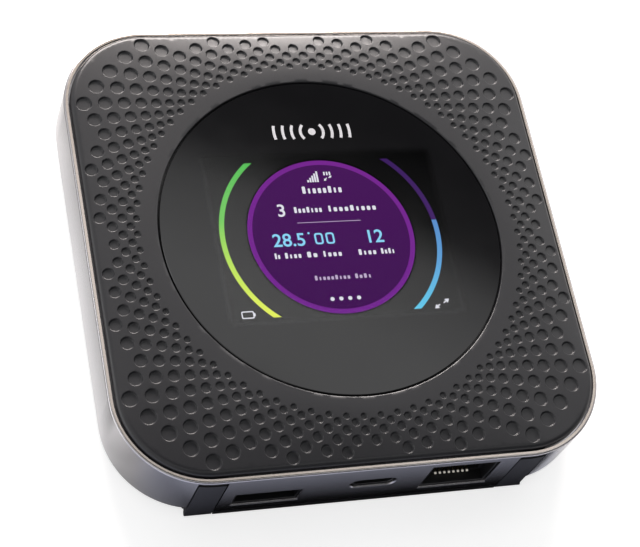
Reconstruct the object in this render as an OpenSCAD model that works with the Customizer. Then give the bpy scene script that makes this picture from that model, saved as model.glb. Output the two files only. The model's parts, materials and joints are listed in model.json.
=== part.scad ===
// Square battery-powered mobile hotspot, built as separate pieces.
// Millimetres. +X right, +Y from the front (port) edge to the back, +Z out of the display.
// Origin: centre of the footprint, on the plane that the rubber feet stand on.

/* [Body] */
// Side length of the square body
body_w = 105.5; // [105.5:0.1:107]
// Outer corner radius of the side band, seen from above
corner_r = 19.35; // [19:0.05:19.8]
// Radius of the rounding under the sides
belly_r = 5; // [4.6:0.1:5.4]
// Depth by which the cover face falls from the window to its shoulder
crown_h = 1.2; // [1:0.1:1.4]
// Height of the rounded shoulder along the cover's edge
edge_h = 1.1; // [1:0.05:1.3]

/* [Window] */
// Radius of the round window opening in the top cover
window_r = 37.66; // [37.5:0.02:38]
// Thickness of the window glass
glass_t = 1.1; // [0.9:0.1:1.1]

/* [Cover dimples] */
// Dimples in each full ring
dimple_n = 72; // [60:4:72]
// Radius of the innermost ring of dimples
dimple_r0 = 42; // [41.9:0.1:42.3]
// Diameter of the innermost dimples
dimple_d0 = 1.55; // [1.2:0.05:1.7]
// Depth of each dimple below the cover face
dimple_depth = 0.35; // [0.2:0.05:0.4]

/* [Ports] */
// Width of the network port opening
lan_w = 15; // [14.6:0.1:15.2]
// Height of the network port opening
lan_h = 11.2; // [10.8:0.1:11.4]
// Centre of the network port along the front edge
lan_x = 19.85; // [19.7:0.05:20]
// Width of the large rectangular serial-bus opening
usba_w = 14; // [13.8:0.1:14.4]
// Height of the large rectangular serial-bus opening
usba_h = 5.6; // [5.4:0.1:5.8]
// Centre of the large serial-bus port along the front edge
usba_x = -21.15; // [-21.4:0.05:-20.6]
// Width of the small oval serial-bus opening
usbc_w = 9.9; // [9.8:0.1:10.2]
// Height of the small oval serial-bus opening
usbc_h = 3.7; // [3.7:0.1:3.9]
// Centre of the small oval port along the front edge
usbc_x = 0.75; // [0.5:0.05:1]
// Height of the large serial-bus port's centre line
usba_z = 7.35; // [7.3:0.01:7.36]
// Height of the small oval port's centre line
usbc_z = 10.35; // [10.3:0.05:10.4]
// Distance of each antenna socket from the middle
ant_x = 34.2; // [34.1:0.05:34.2]
// Width of the rubber flap over each antenna socket
flap_w = 5.6; // [5.4:0.1:5.6]

/* [Battery] */
// Width of the battery pack
batt_w = 65.2; // [60:0.2:65.4]
// Length of the battery pack
batt_l = 75.2; // [70:0.2:75.4]
// Thickness of the battery pack
batt_t = 7; // [5:0.1:7.1]

/* [Power button] */
// Width of the power button
btn_w = 13; // [10:0.5:13]
// Height of the power button
btn_h = 4.4; // [4:0.1:4.6]

/* [Hidden] */
$fn = 64;

// Body and side band
body_half = body_w / 2;
corner_at = body_half - corner_r;     // corner centre, both axes
top_z = 20.35;                        // cover face around the window
rim_z = top_z - crown_h - edge_h;     // foot of the cover's shoulder
base_z = 0.3;                         // flat underside
split_z = 1.8;                        // joint between band and rear housing
band_bottom_z = split_z + 0.05;
band_top_z = rim_z + 0.05;
band_round = 0.5;                     // rounding of the band's top outer edge
wall = 2;                             // band wall
lip = 0.95;                           // band wall beside the cover
ledge_z = 16.85;                      // band ledge under the cover

// Top cover
gap = 0.4;                            // shadow gap round the cover
cover_half = body_half - lip - gap;
cover_r = corner_r - lip - gap;
shoulder = 0.9;                       // width of the rounded shoulder
face_r = 40;                          // flat disc round the window
bore_r = 35.2;                        // hole through the cover under the window
seat_z = 18.95;                       // floor of the window recess
glue_t = 0.15;
glue_z = seat_z + 0.01;

// Main board
pcb_z = 10.3;                         // underside of the board
pcb_top = pcb_z + 1;
part_gap = 0.02;                      // gap between the board and parts beside it
above_pcb = pcb_top + part_gap;
below_pcb = pcb_z - part_gap;

// Layers from the shields up to the display
can_h = 1.8;
modem_at = [-20, 14];
pad_z = above_pcb + can_h + 0.02;
pad_t = 0.59;
spreader_z = pad_z + pad_t + 0.02;
spreader_t = 0.58;
foam_z = spreader_z + spreader_t + 0.03;
frame_z = 16.1;
frame_hole = [44, 32];                // opening in the frame and in the foam

// Screws
boss = 40;                            // corner screws, both axes
post_x = 42;                          // board screws
post_y = 14;
post_top = pcb_z - 0.05;
screw_d = 1.96;
screw_hole_d = 2.06;

// Battery door and bay
door_half = 46;
door_r = 14.4;
foot_at = 36;                         // rubber feet, both axes
foot_d = 9;
bay_w = 66;
bay_front = -34;
bay_back = 42;
connector_w = 14;
contact_n = 4;
contact_pitch = 3.2;
tab_x = 39.5;                         // door tabs
tab_ys = [-25, 30];

// Port edge
front_cut = [-60, -45];               // Y range of cuts through the front wall
bevel = 0.22;                         // bevel round the port openings
port_end = -52.2;                     // outer ends of the port linings
port_gap = 0.15;                      // gap between a lining and its opening
lan_z = 10.3;                         // network port centre height
lan_pins = 8;
lan_pitch = 1.02;
ant_z = 8.2;                          // antenna socket axis height
hinge_r = 0.61;                       // roll at the foot of each antenna flap
hinge_y = 0.625 - body_half;
hinge_z = 0.63;
flap_gap = 0.3;                       // gap beside each antenna flap
flap_depth = 1.4;                     // depth of the main flap recess
panel_half = ant_x + flap_w / 2 + 0.2; // half width of the upright port panel
panel_top = 8;

// Button, card and reset places
btn_z = 9.3;
sim_x = -18;
reset_at = [18, 30];
strip_at = 49.3;                      // antenna strips from the middle

// Shared colours
screw_metal = [0.7, 0.7, 0.72];
can_metal = [0.8, 0.81, 0.83];
sheet_metal = [0.75, 0.76, 0.78];
socket_metal = [0.78, 0.79, 0.8];
jack_gold = [0.85, 0.68, 0.3];
strip_copper = [0.8, 0.55, 0.3];
housing_black = [0.1, 0.1, 0.11];
switch_black = [0.15, 0.15, 0.16];
flap_black = [0.11, 0.11, 0.12];

// ---------- placing ----------

module raise(z) { translate([0, 0, z]) children(); }

// Copies at -x and +x
module pair(x) { for (side = [-1, 1]) translate([side * x, 0, 0]) children(); }

// Copies at the four corners of a rectangle with half sides x and y
module at_corners(x, y, z = 0) {
  for (i = [-1, 1], j = [-1, 1]) translate([i * x, j * y, z]) children();
}

// Row of n copies along X, centred on the origin
module row(n, pitch) {
  for (i = [0 : n - 1]) translate([(i - (n - 1) / 2) * pitch, 0, 0]) children();
}

// ---------- shared shapes; y and z are [low, high] ranges ----------

// Box given by its low and high corners
module block(low, high) { translate(low) cube(high - low); }

// Box of width w centred in X
module box(w, y, z) { block([-w / 2, y[0], z[0]], [w / 2, y[1], z[1]]); }

// Box of width w and length l centred in X and Y
module slab(w, l, z) { box(w, [-l / 2, l / 2], z); }

// Rectangle with true arcs at the corners
module rounded_rect(w, l, r) {
  square([w, l - 2 * r], center = true);
  square([w - 2 * r, l], center = true);
  at_corners(w / 2 - r, l / 2 - r) circle(r);
}

// Rounded plate of thickness t
module plate(w, l, r, t) {
  linear_extrude(t) rounded_rect(w, l, r, $fn = 32);
}

// Upright rounded-square block from z0 to z1
module prism(half, r, z0, z1) {
  raise(z0) linear_extrude(z1 - z0) rounded_rect(2 * half, 2 * half, r);
}

// Prism that follows the body's plan, set in by inset
module body_prism(inset, z0, z1) { prism(body_half - inset, corner_r - inset, z0, z1); }

// Carries a section, drawn as (distance out from the corner centre, height),
// right round the square: four straight runs and four quarter turns
module around() {
  for (turn = [0 : 3]) rotate([0, 0, 90 * turn]) {
    translate([corner_at, corner_at, 0]) rotate([90, 0, 0])
      linear_extrude(2 * corner_at) children();
    translate([corner_at, corner_at, 0]) rotate_extrude(angle = 90) children();
  }
}

// Section of the outside of the body between two heights, with the belly rounding
module outer_section(z0, z1) {
  intersection() {
    translate([0, z0]) square([corner_r, z1 - z0]);
    union() {
      translate([0, base_z + belly_r]) square([corner_r, 30]);
      translate([0, base_z]) square([corner_r - belly_r, 30]);
      translate([corner_r - belly_r, base_z + belly_r]) circle(belly_r);
    }
  }
}

// Round bar along Y
module ybar(d, y) { translate([0, y[0], 0]) rotate([-90, 0, 0]) cylinder(h = y[1] - y[0], d = d); }

// Bar along Y, w by h, centred on the origin of X and Z: rectangular or stadium-shaped
module rect_bar(w, h, y) { box(w, y, [-h / 2, h / 2]); }
module oval_bar(w, h, y) {
  rect_bar(w - h, h, y);
  pair((w - h) / 2) ybar(h, y);
}

// ---------- display side ----------

// Distance from the middle to the top of the cover's shoulder at an angle
function rim_distance(angle) =
  let (
    turn = abs(((angle + 45) % 90 + 90) % 90 - 45), // angle from the nearest axis
    half = cover_half - shoulder,
    r = cover_r - shoulder,
    centre = half - r,
    along = centre * (cos(turn) + sin(turn))
  )
  half * tan(turn) <= centre
    ? half / cos(turn)
    : along + sqrt(along * along - 2 * centre * centre + r * r);

// Height of the cover face at a distance and an angle from the middle
function face_z(r, angle) =
  top_z - crown_h * max(0, (r - face_r) / (rim_distance(angle) - face_r));

// Eight rings of shallow round dimples that grow and spread outwards, every
// second ring turned by half a step, kept clear of the rim
module dimples() {
  limit = cover_half - 2.1;
  for (ring = [0 : 7])
    let (
      r = dimple_r0 + 1.06 * ring + 0.2035 * ring * ring,
      d = dimple_d0 + 0.27 * ring,
      shift = ring % 2 == 0 ? 0.5 : 0
    )
    for (k = [0 : dimple_n - 1])
      let (angle = 360 / dimple_n * (k + shift), x = r * cos(angle), y = r * sin(angle))
      if (max(abs(x), abs(y)) < limit)
        translate([x, y, face_z(r, angle) - dimple_depth]) cylinder(d = d, h = 2, $fn = 16);
}

// Rounding of the cover's edge: fraction of the shoulder width inwards,
// fraction of the edge height upwards
shoulder_steps = [[0, 0], [0.28, 0.7], [1, 1]];

// Crowned solid from z_low up: a flat disc round the window falling to the square
// shoulder, which rounds over to the rim. It is lowered by drop and set in by inset.
module crown(drop, inset, z_low) {
  disc_t = 0.1;
  hull() {
    raise(top_z - drop - disc_t) cylinder(r = face_r - inset / 2, h = disc_t, $fn = 96);
    for (step = shoulder_steps)
      raise(z_low) linear_extrude(rim_z + edge_h * step[1] - drop - z_low)
        at_corners(cover_half - cover_r, cover_half - cover_r)
          circle(cover_r - inset - shoulder * step[0], $fn = 48);
  }
}

module top_cover() {
  color([0.24, 0.24, 0.26]) difference() {
    union() {
      difference() {
        crown(drop = 0, inset = 0, z_low = 16.9);
        crown(drop = 1.5, inset = 2.2, z_low = 16);
      }
      // Thick disc round the window
      raise(18.2) cylinder(r = face_r, h = 1.9);
      at_corners(boss, boss, pcb_top + 0.1) cylinder(d = 5.5, h = 7);
    }
    raise(seat_z) cylinder(r = window_r, h = 3);
    dimples();
    raise(16) cylinder(r = bore_r, h = 4);
    at_corners(boss, boss, pcb_top) cylinder(d = screw_hole_d, h = 4.8);
  }
}

// Glass disc with a bevelled top edge
module display_window() {
  edge_t = 0.15;
  glass_r = window_r - 0.3;
  color([0.07, 0.07, 0.08]) raise(glue_z + glue_t + 0.01) {
    cylinder(r = glass_r, h = glass_t - edge_t);
    raise(glass_t - edge_t) cylinder(r1 = glass_r, r2 = glass_r - edge_t, h = edge_t);
  }
}

module window_adhesive() {
  color([0.1, 0.1, 0.1]) raise(glue_z) difference() {
    cylinder(r = window_r - 0.5, h = glue_t);
    raise(-1) cylinder(r = bore_r + 0.4, h = 3);
  }
}

module lcd_panel() {
  glass_z = 18.8;
  color([0.28, 0.1, 0.35]) union() {
    slab(54.6, 42, [16.85, glass_z]);
    slab(52, 40, [glass_z, 19.03]);
  }
}

// Tray for the panel, with a slot at the front for the flex
module lcd_frame() {
  color(sheet_metal) difference() {
    slab(57.2, 44.8, [frame_z, 18.15]);
    slab(54.8, 42.2, [16.75, 19]);
    slab(frame_hole[0], frame_hole[1], [15, 17]);
    box(14, [-23, -20], [17.2, 19]);
  }
}

// Flat cable from the front of the panel down and back to a connector on the board
module lcd_flex() {
  flex_w = 12;
  flex_t = 0.15;
  front = -24.4;
  bottom = 12.1;
  top = 17.75;
  color([0.85, 0.55, 0.15]) union() {
    box(flex_w, [front, -21.05], [top - flex_t, top]);
    box(flex_w, [front, front + flex_t], [bottom, top]);
    box(flex_w, [front, -19.6], [bottom, bottom + flex_t]);
    box(13.6, [-21.4, -17.6], [above_pcb, bottom - 0.02]);
  }
}

module display_foam() {
  color([0.2, 0.2, 0.22]) difference() {
    slab(54, 41.2, [foam_z, frame_z - 0.03]);
    slab(frame_hole[0], frame_hole[1], [14, 17]);
  }
}

// Plate with a slot for the display flex
module heat_spreader() {
  color([0.72, 0.73, 0.75]) difference() {
    translate([0, 1.5, spreader_z]) plate(76, 70, 4, spreader_t);
    box(16, [-25.6, -19], [13, 15]);
  }
}

// ---------- electronics ----------

module main_board() {
  cut_z = [9, 12];
  color([0.05, 0.28, 0.16]) difference() {
    prism(46.8, 15.1, pcb_z, pcb_top);
    translate([lan_x, 0, 0]) box(16.7, [-48, -35.1], cut_z);
    translate([usbc_x, 0, 0]) box(9.6, [-48, -43.2], cut_z);
    at_corners(boss, boss, 9) cylinder(d = 3, h = 4);
    at_corners(post_x, post_y, 9) cylinder(d = 2.2, h = 4);
  }
}

// Thin folded can on the board, open underneath, with two holes in its top
module can(x, y, w, l) {
  sheet_t = 0.25;
  color(can_metal) translate([x, y, above_pcb]) difference() {
    plate(w, l, 1, can_h);
    raise(-sheet_t) plate(w - 2 * sheet_t, l - 2 * sheet_t, 1 - sheet_t, can_h);
    pair(w * 0.28) raise(-1) cylinder(d = 1.2, h = can_h + 2, $fn = 24);
  }
}

module modem_shield() { can(modem_at[0], modem_at[1], w = 32, l = 28); }
module wifi_shield() { can(17, -6, w = 24, l = 22); }
module power_shield() { can(20, 24, w = 26, l = 18); }

module thermal_pad() {
  color([0.55, 0.62, 0.7]) translate([modem_at[0], modem_at[1], pad_z]) plate(24, 20, 1, pad_t);
}

// Screws with their heads on top of the board
module board_screws() {
  color(screw_metal) at_corners(post_x, post_y) difference() {
    union() {
      raise(7) cylinder(d = screw_d, h = 4.4);
      raise(above_pcb) cylinder(d = 3.6, h = 1.1);
    }
    raise(pcb_top + 0.6) cylinder(d = 1.6, h = 2, $fn = 6);
  }
}

// Closed jack body with a socket bore and a smaller hole for the centre contact
module antenna_jack(x) {
  color(jack_gold) translate([x, 0, ant_z]) difference() {
    union() {
      ybar(4.4, [-50.35, -48]);
      box(5.6, [-48.4, -43.5], [-2.8, 2.05]);
    }
    ybar(3.2, [-51, -46.35]);
    ybar(0.9, [-47, -44.8]);
  }
}
module antenna_jack_left() { antenna_jack(-ant_x); }
module antenna_jack_right() { antenna_jack(ant_x); }

// Network socket: plug cavity with the contact floor below and the latch slot above
module ethernet_jack() {
  lining = port_gap + 0.45; // gap and collar wall together
  color([0.09, 0.09, 0.1]) translate([lan_x, 0, 0]) difference() {
    union() {
      box(15.4, [-50.7, -35.6], [2.35, 16.25]);
      // Collar that lines the opening in the band
      raise(lan_z) rect_bar(lan_w - 2 * port_gap, lan_h - 2 * port_gap, [port_end, -50]);
    }
    box(12, [-53, -38], [6, 12.95]);
    box(6.4, [-53, -41], [12, 15.25]);
    raise(lan_z) rect_bar(lan_w - 2 * lining, lan_h - 2 * lining, [-53, -50]);
    row(lan_pins, lan_pitch) box(0.4, [-49.5, -38.5], [5.3, 6.35]);
  }
}

// Bent contacts: floor run, riser, front tail and sloping spring
module ethernet_contacts() {
  pin_w = 0.3;
  pin_t = 0.25;
  front = -49.4;
  bottom = 5.35;
  top = 6.35;
  color([0.9, 0.74, 0.35]) translate([lan_x, 0, 0]) row(lan_pins, lan_pitch) {
    box(pin_w, [front, -38.6], [bottom, bottom + pin_t]);
    box(pin_w, [front, -49.1], [bottom, top]);
    box(0.4, [-50.6, -49.1], [top - pin_t, top]);
    translate([0, -49.2, 5.55]) rotate([28, 0, 0]) box(pin_w, [0, 7.5], [0, pin_t]);
  }
}

// Folded metal shield over the network socket, with a slot through its sides
module ethernet_shield() {
  color(sheet_metal) translate([lan_x, 0, 0]) difference() {
    box(16.1, [-50.6, -35.25], [2.02, 16.6]);
    box(15.5, [-52, -35.55], [2.3, 16.3]);
    box(18, [-48, -40], [13.4, 14.1]);
  }
}

module usb_a_shell() {
  shell_w = usba_w - 2 * port_gap;
  color(socket_metal) translate([usba_x, 0, usba_z]) difference() {
    union() {
      rect_bar(shell_w, usba_h - 2 * port_gap, [port_end, -37.5]);
      // Folded pads under the board
      pair(4.6) box(2, [-44, -41], [2, 2.88]);
    }
    rect_bar(shell_w - 0.6, 4.7, [-53, -38]);
    // Holes through the top and bottom
    pair(3) box(1.8, [-49, -45], [-4, 4]);
  }
}

// Tongue with four contact grooves underneath, and the block behind it
module usb_a_tongue() {
  color(housing_black) translate([usba_x, 0, usba_z]) difference() {
    union() {
      box(11.2, [-50.2, -40], [0.25, 2.1]);
      rect_bar(12.8, 4.6, [-40.4, -38.05]);
    }
    for (x = [1.25, 3.5]) pair(x) box(1.2, [-49.6, -41], [0, 0.4]);
  }
}

module usb_c_shell() {
  wing_z = above_pcb - usbc_z;
  color(socket_metal) translate([usbc_x, 0, usbc_z]) difference() {
    union() {
      oval_bar(9.2, 3.3, [port_end, -43.6]);
      // Wings that rest over the board
      box(12, [-46.3, -44.3], [wing_z, wing_z + 0.3]);
    }
    oval_bar(8.4, 2.65, [-53, -44.3]);
  }
}

module usb_c_tongue() {
  color([0.12, 0.12, 0.13]) translate([usbc_x, 0, usbc_z]) {
    rect_bar(6.7, 0.7, [-50.3, -45]);
    oval_bar(8.2, 2.5, [-45.4, -44.35]);
  }
}

module power_switch() {
  color(switch_black) raise(btn_z) difference() {
    box(6, [43.4, 46.6], [-1.7, below_pcb - btn_z]);
    ybar(1.7, [44.6, 48]);
  }
}

module switch_plunger() {
  color([0.9, 0.9, 0.88]) raise(btn_z) ybar(1.5, [45.3, 47.5]);
}

// Card tray under the board, open to the front, with a window in its floor
module sim_slot() {
  color(socket_metal) translate([sim_x, 0, 0]) difference() {
    box(14.6, [5, 22.6], [8.92, below_pcb]);
    box(12.6, [4, 22], [9.17, 10.12]);
    box(6, [8, 17], [8, 9.5]);
  }
}

// Card outline, [x, y] from its centre, with one cut corner
card_outline = [[-6.15, -7.5], [6.15, -7.5], [6.15, 5.2], [3.85, 7.5], [-6.15, 7.5]];

module sim_card() {
  color([0.95, 0.95, 0.95]) translate([sim_x, 12.4, 9.27]) linear_extrude(0.76)
    polygon(card_outline);
}

module reset_switch() {
  color(switch_black) translate(reset_at) difference() {
    slab(4.6, 3.6, [9.35, below_pcb]);
    raise(9) cylinder(d = 2, h = 1.05);
  }
}

module reset_button() {
  color([0.85, 0.3, 0.2]) translate(reset_at) raise(8.95) cylinder(d = 1.8, h = 0.75);
}

// Antenna: a thin upright strip along Y with two feet towards -X, level with the board
module antenna_strip(l, z_top) {
  slab(0.8, l, [4, z_top]);
  for (side = [-1, 1]) translate([0, side * l * 0.35, 0])
    block([-2.2, -2, pcb_z + 0.1], [0, 2, pcb_top - 0.1]);
}

module side_strip() { translate([strip_at, 0, 0]) antenna_strip(52, 14); }
module back_strip(x) { translate([x, strip_at, 0]) rotate([0, 0, 90]) antenna_strip(18, 13); }

module main_antenna() { color(strip_copper) mirror([1, 0, 0]) side_strip(); }
module diversity_antenna() { color(strip_copper) side_strip(); }
module wifi_antenna_left() { color(strip_copper) back_strip(-22); }
module wifi_antenna_right() { color(strip_copper) back_strip(22); }

// ---------- casing ----------

// Space for one rubber flap in the front wall; side_gap widens it
module flap_space(x, side_gap, depth, z0, z1) {
  intersection() {
    translate([x, 0, 0]) box(flap_w + 2 * side_gap, front_cut, [z0, z1]);
    difference() {
      body_prism(-1, z0 - 1, z1 + 1);
      body_prism(depth, z0 - 2, z1 + 2);
    }
  }
}

module port_bar(w, h, y, oval) {
  if (oval) oval_bar(w, h, y);
  else rect_bar(w, h, y);
}

// Opening through the front wall with a bevelled outer edge
module port_cut(w, h, oval = false) {
  port_bar(w, h, front_cut, oval);
  hull() for (grow = [0, bevel])
    port_bar(w + 2 * grow, h + 2 * grow,
      [-body_half - 0.1 - grow, bevel - body_half - grow], oval);
}

// Region of the upright panel that squares off the belly below the ports
module panel_region() { box(2 * panel_half, [-60, -40], [0, panel_top]); }

// Section of the band: belly rounding, wall, ledge and rounded top edge
module band_section() {
  difference() {
    outer_section(band_bottom_z, band_top_z);
    translate([-1, -1]) square([corner_r - wall + 1, 30]);
    translate([-1, ledge_z]) square([corner_r - lip + 1, 30]);
    translate([corner_r - band_round, band_top_z - band_round]) difference() {
      square(1);
      circle(band_round);
    }
  }
}

module side_band() {
  color([0.6, 0.58, 0.62]) difference() {
    union() {
      around() band_section();
      intersection() {
        difference() {
          body_prism(0, band_bottom_z, panel_top);
          body_prism(wall, 1, panel_top + 1);
        }
        panel_region();
      }
    }
    translate([lan_x, 0, lan_z]) port_cut(lan_w, lan_h);
    translate([usba_x, 0, usba_z]) port_cut(usba_w, usba_h);
    translate([usbc_x, 0, usbc_z]) port_cut(usbc_w, usbc_h, oval = true);
    for (x = [-ant_x, ant_x]) {
      flap_space(x, flap_gap, flap_depth, 0, 16.4);
      flap_space(x, flap_gap, 0.6, 16, 17.4);
      translate([x, 0, ant_z]) ybar(4.8, front_cut);
    }
    raise(btn_z) oval_bar(btn_w + 0.4, btn_h + 0.4, [45, 60]);
  }
}

// Solid parts of the rear housing
module housing_body() {
  bay_wall = 1;
  // Rounded belly between the underside and the band
  around() outer_section(base_z, split_z);
  slab(2 * corner_at + 2, 2 * corner_at + 2, [base_z, split_z]);
  // Foot of the upright port panel
  intersection() {
    body_prism(0, base_z, split_z);
    panel_region();
  }
  // Floor over the battery door
  prism(48, 16.3, split_z - 0.1, 2.8);
  // Battery bay
  box(bay_w + 2 * bay_wall, [bay_front - bay_wall, bay_back + bay_wall], [split_z, 9.95]);
  at_corners(boss, boss, split_z) cylinder(d = 6.2, h = post_top - split_z);
  at_corners(post_x, post_y, split_z) cylinder(d = 5, h = post_top - split_z);
}

module rear_housing() {
  door_gap = 0.25;
  window_z = [8, 11];
  color(housing_black) difference() {
    housing_body();
    prism(door_half + door_gap, door_r + door_gap, -1, split_z);
    box(bay_w, [bay_front, bay_back], [0, 9.1]);
    // Network socket pocket
    translate([lan_x, 0, 0]) {
      box(16.6, [-46.2, -35.05], [1, 4]);
      box(16.6, [-49, -35.05], [1.79, 4]);
    }
    // Card, reset and contact windows
    translate([sim_x, 0, 0]) box(15.2, [-8.5, 22.9], window_z);
    translate(reset_at) slab(5.2, 4.2, window_z);
    box(connector_w + 0.6, [bay_front - 2, bay_front + 1], [3.9, 11]);
    // Flap recesses and door tab slots
    for (x = [-ant_x, ant_x]) flap_space(x, flap_gap, flap_depth, -1, 4);
    for (y = tab_ys) pair(tab_x) box(2, [y - 4, y + 4], [1, 4]);
    // Counterbored screw holes and board screw holes
    at_corners(boss, boss) {
      cylinder(d = 4.4, h = 7);
      cylinder(d = 2.3, h = 12);
    }
    at_corners(post_x, post_y, 6) cylinder(d = screw_hole_d, h = 8);
    // Fingernail notch at the door's back edge
    translate([0, door_half, -1]) cylinder(r = 4, h = 1.9);
  }
}

// Screws from below, with their heads in the housing's counterbores
module housing_screws() {
  color(screw_metal) at_corners(boss, boss) difference() {
    union() {
      raise(5.5) cylinder(d = 3.9, h = 1.47);
      raise(6) cylinder(d = screw_d, h = 9.8);
    }
    raise(5) cylinder(d = 1.7, h = 1.4, $fn = 6);
  }
}

// Door with recesses for the feet and a fingernail notch
module battery_door() {
  color([0.12, 0.12, 0.13]) union() {
    difference() {
      prism(door_half, door_r, base_z, 1.55);
      at_corners(foot_at, foot_at, -1) cylinder(d = foot_d + 0.1, h = 1.85);
      translate([0, door_half, -1]) cylinder(r = 3.5, h = 1.8);
    }
    // Locating tabs
    for (y = tab_ys) pair(tab_x) box(1, [y - 3.5, y + 3.5], [1.5, 2.7]);
  }
}

module rubber_feet() {
  color([0.06, 0.06, 0.06]) at_corners(foot_at, foot_at) {
    raise(base_z) cylinder(d = foot_d, h = 0.54);
    cylinder(d1 = foot_d - 0.6, d2 = foot_d, h = base_z);
  }
}

// Pack with a contact recess at the front and a shallow recess underneath
module battery_pack() {
  pack_front = -batt_l / 2;
  color([0.13, 0.13, 0.15]) translate([0, (bay_front + bay_back) / 2, 1.75]) difference() {
    plate(batt_w, batt_l, 3, batt_t);
    box(connector_w, [pack_front - 1, pack_front + 0.7], [2.4, 6]);
    translate([0, 2, -0.3]) plate(batt_w - 8, batt_l - 14, 2, 0.4);
  }
}

module battery_connector() {
  depth = [-1.9, -0.1];
  color(housing_black) translate([0, bay_front, 0]) difference() {
    union() {
      box(connector_w, depth, [4.1, 9.8]);
      box(connector_w, depth, [9.5, below_pcb]);
    }
    row(contact_n, contact_pitch) box(1, [-1.4, 1], [4.6, 7.8]);
  }
}

// U-shaped contacts: tall back leg, foot and short leg facing the pack
module battery_contacts() {
  leg_w = 0.8;
  bottom = 4.7;
  color([0.9, 0.72, 0.3]) translate([0, bay_front, 0]) row(contact_n, contact_pitch) {
    box(leg_w, [-1.3, -1.1], [bottom, 7.7]);
    box(leg_w, [-1.3, 0.1], [bottom, bottom + 0.2]);
    box(leg_w, [-0.1, 0.1], [bottom, 6.6]);
  }
}

// Rubber flap flush with the wall, with a short stopper behind it and a round
// hinge roll along its lower edge
module antenna_cap(x) {
  color(flap_black) {
    intersection() {
      flap_space(x, 0, 1.25, hinge_z, 16.22);
      body_prism(0, -1, 20);
    }
    // Thinner top edge, set back from the wall face
    intersection() {
      flap_space(x, 0, 0.52, 16, 17.22);
      body_prism(0.25, -1, 20);
    }
    translate([x - flap_w / 2, hinge_y, hinge_z]) rotate([0, 90, 0])
      cylinder(r = hinge_r, h = flap_w);
    translate([x, 0, ant_z]) ybar(3.4, [-51.7, -50.65]);
  }
}
module antenna_cap_left() { antenna_cap(-ant_x); }
module antenna_cap_right() { antenna_cap(ant_x); }

// Oval button with a retaining flange and a stem towards the switch
module power_button() {
  color([0.2, 0.2, 0.21]) raise(btn_z) {
    oval_bar(btn_w, btn_h, [50.2, body_half]);
    oval_bar(btn_w + 2, btn_h + 1.6, [49.9, 50.7]);
    ybar(2.2, [47.55, 50.2]);
  }
}

top_cover();
display_window();
window_adhesive();
lcd_panel();
lcd_frame();
lcd_flex();
display_foam();
heat_spreader();
thermal_pad();
main_board();
modem_shield();
wifi_shield();
power_shield();
board_screws();
side_band();
rear_housing();
housing_screws();
battery_door();
battery_pack();
battery_connector();
battery_contacts();
rubber_feet();
ethernet_jack();
ethernet_contacts();
ethernet_shield();
usb_a_shell();
usb_a_tongue();
usb_c_shell();
usb_c_tongue();
antenna_jack_left();
antenna_jack_right();
antenna_cap_left();
antenna_cap_right();
power_button();
power_switch();
switch_plunger();
sim_slot();
sim_card();
reset_switch();
reset_button();
main_antenna();
diversity_antenna();
wifi_antenna_left();
wifi_antenna_right();
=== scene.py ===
"""A square box with rounded corners and a round display window, lying flat on pale paper.

The window faces up (+Z), the port wall faces front (-Y) and the box is centred on the Z axis.
Lengths are in millimetres and become metres through MM, except for the stage, lights and camera.
"""
import json
import math

import bmesh
import bpy
import numpy as np
from mathutils import Matrix, Vector
from mathutils.geometry import delaunay_2d_cdt

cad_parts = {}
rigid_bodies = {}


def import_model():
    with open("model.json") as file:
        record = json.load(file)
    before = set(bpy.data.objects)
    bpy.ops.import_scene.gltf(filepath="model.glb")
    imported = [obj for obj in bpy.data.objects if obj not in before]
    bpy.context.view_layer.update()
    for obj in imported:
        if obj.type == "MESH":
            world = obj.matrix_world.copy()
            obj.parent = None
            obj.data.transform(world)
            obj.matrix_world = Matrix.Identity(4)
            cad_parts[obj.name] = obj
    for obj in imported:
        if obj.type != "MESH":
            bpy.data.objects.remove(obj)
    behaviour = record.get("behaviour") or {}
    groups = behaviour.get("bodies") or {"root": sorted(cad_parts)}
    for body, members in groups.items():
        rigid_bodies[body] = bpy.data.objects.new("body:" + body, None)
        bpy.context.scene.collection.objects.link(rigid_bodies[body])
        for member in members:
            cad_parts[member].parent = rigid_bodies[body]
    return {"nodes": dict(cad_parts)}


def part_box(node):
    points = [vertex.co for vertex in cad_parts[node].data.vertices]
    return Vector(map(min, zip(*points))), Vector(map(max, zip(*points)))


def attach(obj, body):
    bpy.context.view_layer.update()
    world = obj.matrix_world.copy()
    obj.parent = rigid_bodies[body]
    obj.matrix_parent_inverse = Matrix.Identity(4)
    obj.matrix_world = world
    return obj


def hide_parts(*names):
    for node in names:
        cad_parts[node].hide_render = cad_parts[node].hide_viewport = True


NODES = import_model()["nodes"]
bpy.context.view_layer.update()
MM = 0.001
scene = bpy.context.scene
scene.view_settings.view_transform = "Standard"
scene.view_settings.look = "None"


# ---------------------------------------------------------------- shader tools

# Places of the A and B inputs and of the result on a Mix node, by data type
MIX_SOCKETS = {"FLOAT": (2, 3, 0), "RGBA": (6, 7, 2)}


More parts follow.
